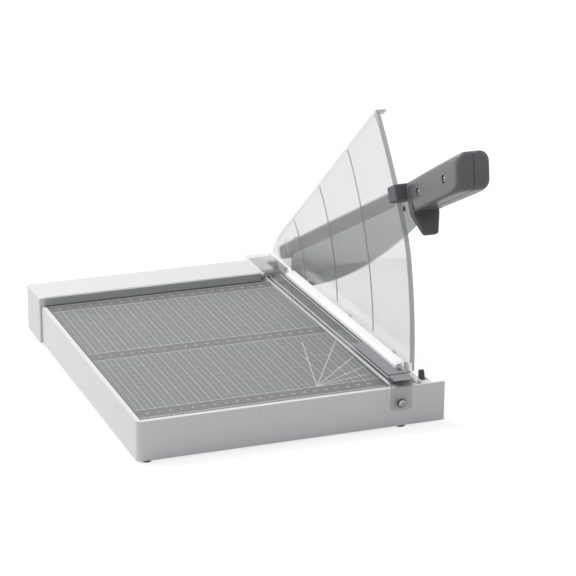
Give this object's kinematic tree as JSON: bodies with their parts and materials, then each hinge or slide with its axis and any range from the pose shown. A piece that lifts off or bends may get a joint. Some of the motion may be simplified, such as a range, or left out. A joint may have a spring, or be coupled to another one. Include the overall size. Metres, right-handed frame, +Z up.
{
  "type": "guillotine paper cutter",
  "caption": "Desktop guillotine paper cutter with a printed table, a clear hinged clamp that carries a fan guard, and a crescent blade on a lever arm.",
  "frame": {"origin": "centre of the machine's box, on the surface it stands on", "axes": "+X along the front wall to the blade's side, +Y from the front wall to the rear rail, +Z up"},
  "size_m": [0.2812, 0.4514, 0.2651],
  "materials": {
    "shell": "light grey, smooth satin",
    "table": "mid grey print with pale grid lines",
    "rail": "white-grey, smooth satin",
    "dark": "dark grey, fine grain",
    "rubber": "black, matt",
    "steel": "ground and brushed",
    "zinc": "zinc plated",
    "bar": "grey enamel on steel",
    "grip": "mid grey, fine grain",
    "shield": "dark grey, fine grain",
    "clear": "clear moulded plastic",
    "white": "white, smooth",
    "pad": "grey pad"
  },
  "bodies": {
    "base": {"base_frame": "shell", "table_plate": "table", "back_rail": "rail", "rail_end_cap": "rail", "fence_strip": "dark", "stop_block": "dark", "clamp_guide_ring": "dark", "foot_left_front": "rubber", "foot_left_rear": "rubber", "foot_right_front": "rubber", "foot_right_rear": "rubber", "stop_bumper": "rubber", "fixed_blade": "steel", "pivot_bolt": "steel", "clamp_hinge_pin": "steel", "fixed_blade_screw_1": "zinc", "fixed_blade_screw_2": "zinc", "fixed_blade_screw_3": "zinc", "fixed_blade_screw_4": "zinc", "pivot_bracket": "zinc", "bracket_screw_1": "zinc", "bracket_screw_2": "zinc", "pivot_spacer": "zinc", "pivot_spring_washer": "zinc", "pivot_washer": "zinc", "pivot_nut": "zinc", "clamp_guide_screw": "zinc", "hinge_cover": "clear", "hinge_cover_pad": "pad"},
    "clamp": {"clamp_strip": "clear", "clamp_bar": "white", "bar_plug_front": "dark", "bar_plug_rear": "dark", "press_pad": "pad", "fan_guard": "clear", "guard_screw_1": "zinc", "guard_screw_2": "zinc", "guard_screw_3": "zinc", "guard_boss": "clear"},
    "arm": {"arm_bar": "bar", "pivot_bush": "zinc", "moving_blade": "steel", "blade_screw_1": "zinc", "blade_screw_2": "zinc", "blade_screw_3": "zinc", "blade_screw_4": "zinc", "blade_screw_5": "zinc", "press_block": "dark", "hand_guard": "shield", "grip_left": "grip", "grip_right": "grip", "grip_screw_1": "dark", "grip_screw_2": "dark"}
  },
  "joints": [
    {"name": "arm_pivot", "type": "hinge", "parent": "base", "child": "arm", "pos_m": [0.11855, 0.18977, 0.057], "axis": [-1, 0, 0], "range_deg": [-26.7, 10.5]},
    {"name": "clamp_hinge", "type": "hinge", "parent": "base", "child": "clamp", "pos_m": [0.11855, 0.18727, 0.042], "axis": [1, 0, 0], "range_deg": [0, 0.75], "stiffness_Nm_per_rad": 2, "springref_deg": -14.32}
  ]
}
